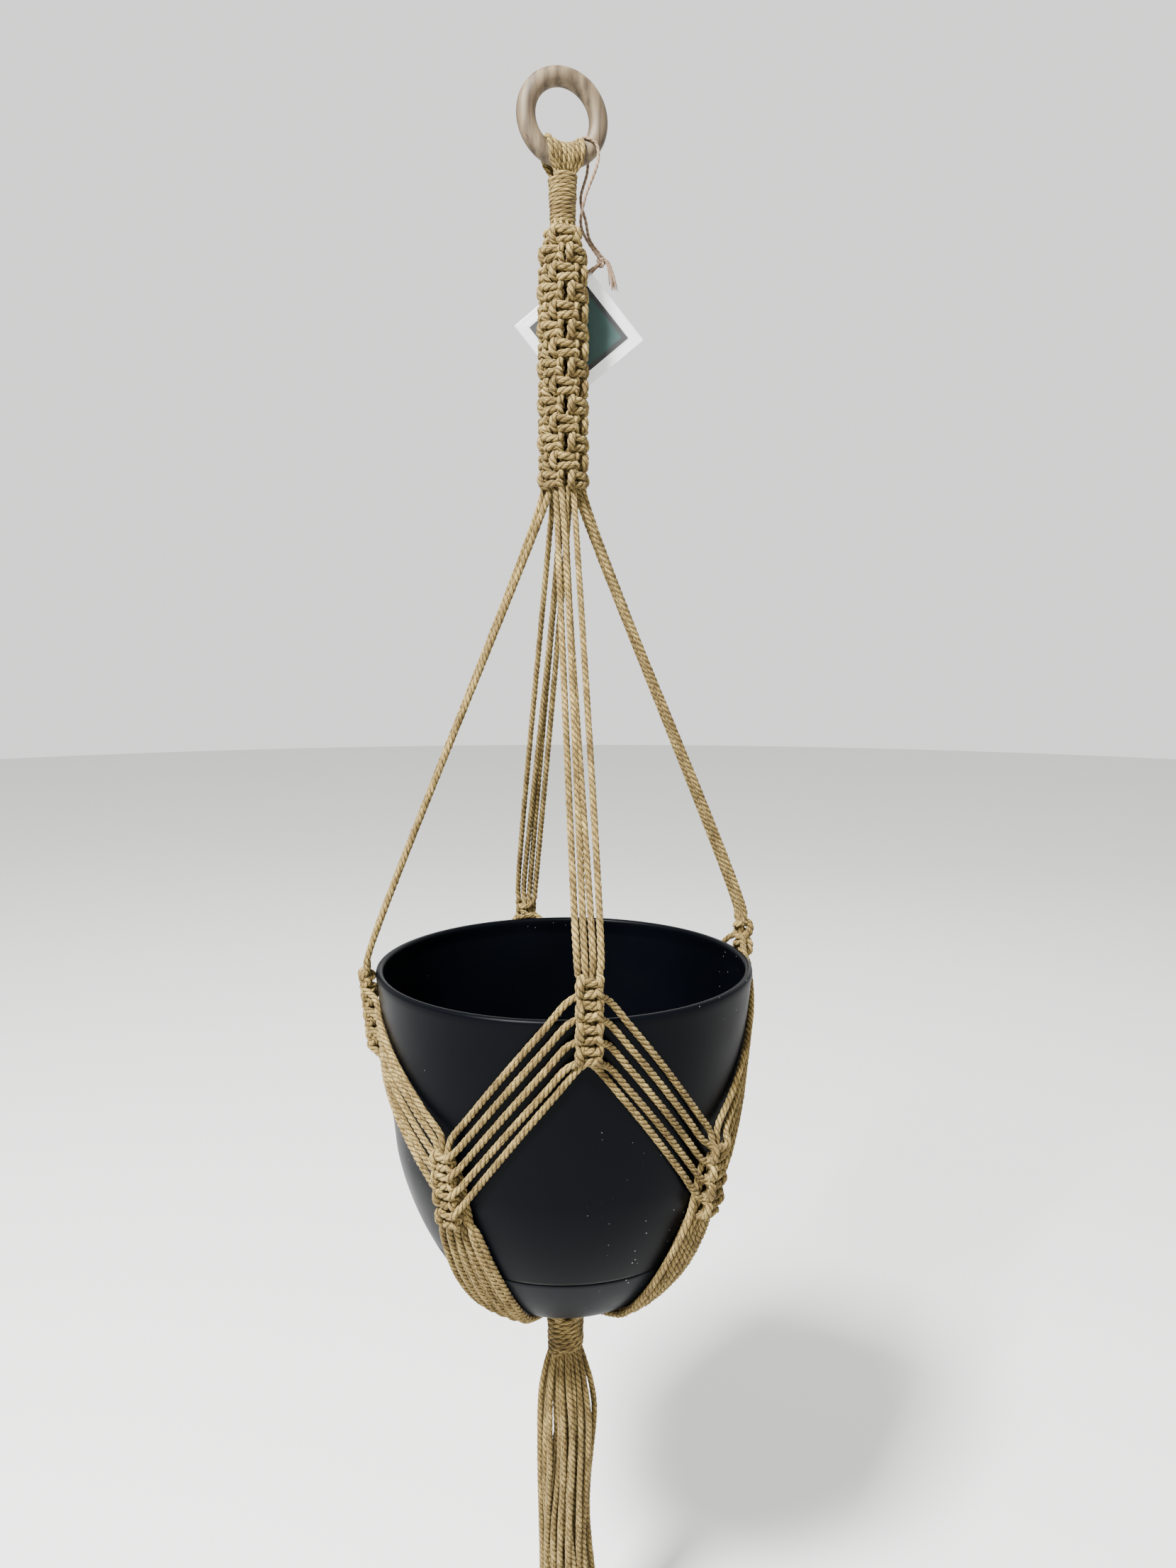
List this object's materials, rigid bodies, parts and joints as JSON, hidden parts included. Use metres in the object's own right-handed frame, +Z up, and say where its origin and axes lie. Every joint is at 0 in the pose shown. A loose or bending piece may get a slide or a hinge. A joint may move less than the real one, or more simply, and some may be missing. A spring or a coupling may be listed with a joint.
{
  "type": "hanging macrame planter",
  "caption": "Hanging plant pot with its own saucer, carried in a knotted cord hanger with a tubular knotted crown, diamond net, tassel, wooden ring and a small tag.",
  "frame": {"origin": "where a hook bears, on the inside of the wooden ring at its top", "axes": "+Z up along the hanging line; the four legs run down near +X, +Y, -X and -Y"},
  "size_m": [0.251, 0.253, 1.0109],
  "materials": {
    "cord": "twisted cotton, matte",
    "wood": "unfinished, fine grain",
    "pot_plastic": "satin",
    "saucer_plastic": "satin",
    "clear_sleeve": "clear film",
    "card": "smooth",
    "twine": "twisted, matte"
  },
  "bodies": {
    "ring": {"wood_ring": "wood"},
    "hanger": {"ring_fold": "cord", "top_wrap": "cord", "crown": "cord", "leg_cord_right_1": "cord", "leg_cord_right_2": "cord", "leg_cord_right_3": "cord", "leg_cord_right_4": "cord", "leg_cord_back_1": "cord", "leg_cord_back_2": "cord", "leg_cord_back_3": "cord", "leg_cord_back_4": "cord", "leg_cord_left_1": "cord", "leg_cord_left_2": "cord", "leg_cord_left_3": "cord", "leg_cord_left_4": "cord", "leg_cord_front_1": "cord", "leg_cord_front_2": "cord", "leg_cord_front_3": "cord", "leg_cord_front_4": "cord", "rim_sinnet_right": "cord", "rim_sinnet_back": "cord", "rim_sinnet_left": "cord", "rim_sinnet_front": "cord", "net_right_to_back_right": "cord", "net_right_to_front_right": "cord", "net_back_to_back_left": "cord", "net_back_to_back_right": "cord", "net_left_to_front_left": "cord", "net_left_to_back_left": "cord", "net_front_to_front_right": "cord", "net_front_to_front_left": "cord", "junction_sinnet_back_right": "cord", "junction_sinnet_back_left": "cord", "junction_sinnet_front_left": "cord", "junction_sinnet_front_right": "cord", "base_bundle_back_right": "cord", "base_bundle_back_left": "cord", "base_bundle_front_left": "cord", "base_bundle_front_right": "cord", "bottom_wrap": "cord"},
    "pot": {"pot": "pot_plastic", "saucer": "saucer_plastic"},
    "tag": {"tag_sleeve": "clear_sleeve", "tag_card": "card", "tag_loop": "twine", "tag_knot": "twine", "tag_twine": "twine"},
    "tassel": {"tassel": "cord"}
  },
  "joints": [
    {"name": "hanger_swing", "type": "hinge", "parent": "ring", "child": "hanger", "pos_m": [0, 0, -0.0385], "axis": [0.9703, 0.2419, 0], "range_deg": [-10, 10]},
    {"name": "pot_turn", "type": "hinge", "parent": "hanger", "child": "pot", "pos_m": [0, 0, -0.5103], "axis": [0, 0, 1], "continuous": true},
    {"name": "tag_swing", "type": "hinge", "parent": "hanger", "child": "tag", "pos_m": [0.01682, 0.00419, -0.03004], "axis": [0.9945, -0.1045, 0], "range_deg": [0, 18]},
    {"name": "tassel_swing", "type": "hinge", "parent": "hanger", "child": "tassel", "pos_m": [0, 0, -0.7693], "axis": [1, 0, 0], "range_deg": [-20, 20]}
  ]
}
